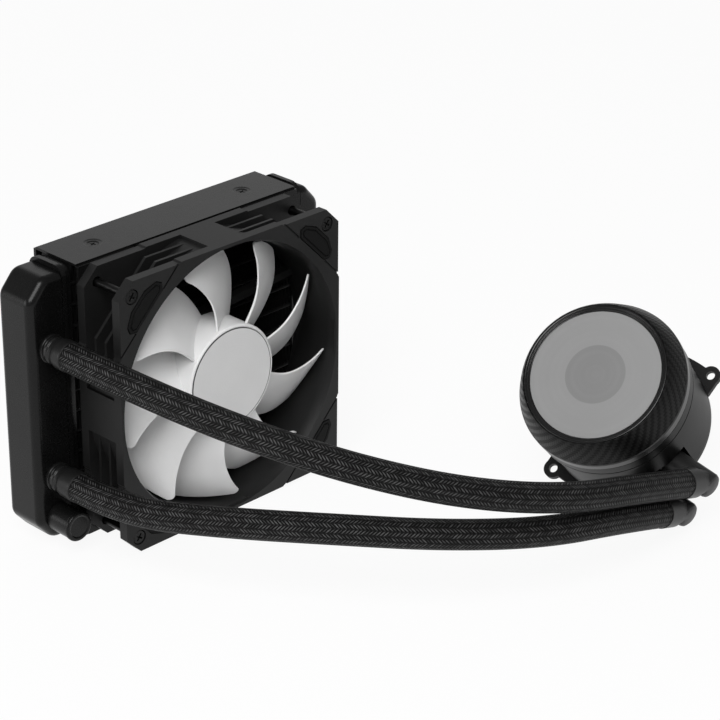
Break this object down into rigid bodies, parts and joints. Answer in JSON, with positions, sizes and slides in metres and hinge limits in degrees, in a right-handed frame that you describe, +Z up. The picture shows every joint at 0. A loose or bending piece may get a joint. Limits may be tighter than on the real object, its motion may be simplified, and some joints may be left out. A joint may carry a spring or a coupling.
{
  "type": "all-in-one liquid cooler",
  "caption": "All-in-one liquid cooler for a computer processor: a square radiator with its fan, joined to a round pump head by braided hoses.",
  "frame": {"origin": "middle of the radiator's underside, on the surface that the cooler stands on", "axes": "+Z up; X along the radiator, with the hose ports at -X; the fan is on the -Y side and the case holes on the +Y side"},
  "size_m": [0.2483, 0.2054, 0.1203],
  "materials": {
    "radiator_paint": "satin black paint on aluminium",
    "core_paint": "thin black paint on aluminium",
    "barb_paint": "gloss black paint on metal",
    "dark_screws": "blackened steel",
    "cuff_rubber": "smooth black heat-shrink",
    "sleeve": "braided black nylon over rubber hose",
    "fan_plastic": "matt dark grey glass-filled plastic",
    "pad_rubber": "soft dark grey rubber",
    "blade_plastic": "milky white translucent plastic",
    "disc_label": "satin light grey film",
    "steel": "bright steel",
    "magnet": "dark ferrite",
    "clip_plastic": "white nylon",
    "bronze": "sintered bronze",
    "copper": "copper",
    "board": "green circuit board",
    "chip": "light-emitting chips",
    "mount_steel": "black paint on steel",
    "pump_plastic": "satin black plastic",
    "seal_rubber": "black rubber",
    "impeller_plastic": "dark filled plastic round a magnet",
    "ceramic_pin": "white ceramic",
    "trim_silver": "satin silver grey",
    "band_carbon": "clear-coated carbon-look twill",
    "bezel_plastic": "gloss dark grey plastic",
    "window_plastic": "frosted light grey plastic",
    "elbow_plastic": "smooth black plastic"
  },
  "bodies": {
    "cooler": {"top_channel": "radiator_paint", "bottom_channel": "radiator_paint", "left_header": "radiator_paint", "right_header": "radiator_paint", "left_tank": "radiator_paint", "right_tank": "radiator_paint", "fill_neck": "radiator_paint", "fill_cap": "radiator_paint", "flat_tubes": "core_paint", "fins": "core_paint", "hose_barbs": "barb_paint", "channel_screws": "dark_screws", "fan_screws": "dark_screws", "base_screws": "dark_screws", "barb_cuffs": "cuff_rubber", "hose_upper": "sleeve", "hose_lower": "sleeve", "fan_frame": "fan_plastic", "fan_pads": "pad_rubber", "fan_stator": "steel", "pump_stator": "steel", "fan_bearing": "bronze", "fan_windings": "copper", "pump_windings": "copper", "cold_plate": "copper", "fan_board": "board", "pump_board": "board", "light_board": "board", "light_chips": "chip", "mount_plate": "mount_steel", "pump_body": "pump_plastic", "motor_cover": "pump_plastic", "base_seal": "seal_rubber", "impeller_pin": "ceramic_pin", "trim_ring": "trim_silver", "cap_shell": "band_carbon", "bezel_ring": "bezel_plastic", "window": "window_plastic", "elbow_upper": "elbow_plastic", "elbow_lower": "elbow_plastic"},
    "fan": {"fan_rotor": "blade_plastic", "hub_disc": "disc_label", "flux_ring": "steel", "magnet_ring": "magnet", "fan_shaft": "steel", "shaft_clip": "clip_plastic"},
    "pump_impeller": {"impeller": "impeller_plastic"}
  },
  "joints": [
    {"name": "fan_spin", "type": "hinge", "parent": "cooler", "child": "fan", "pos_m": [-0.0007, -0.03, 0.0597], "axis": [0, 1, 0], "continuous": true},
    {"name": "impeller_spin", "type": "hinge", "parent": "cooler", "child": "pump_impeller", "pos_m": [0.1392, -0.1343, 0.02423], "axis": [-0.6956, -0.1734, 0.6972], "continuous": true}
  ]
}
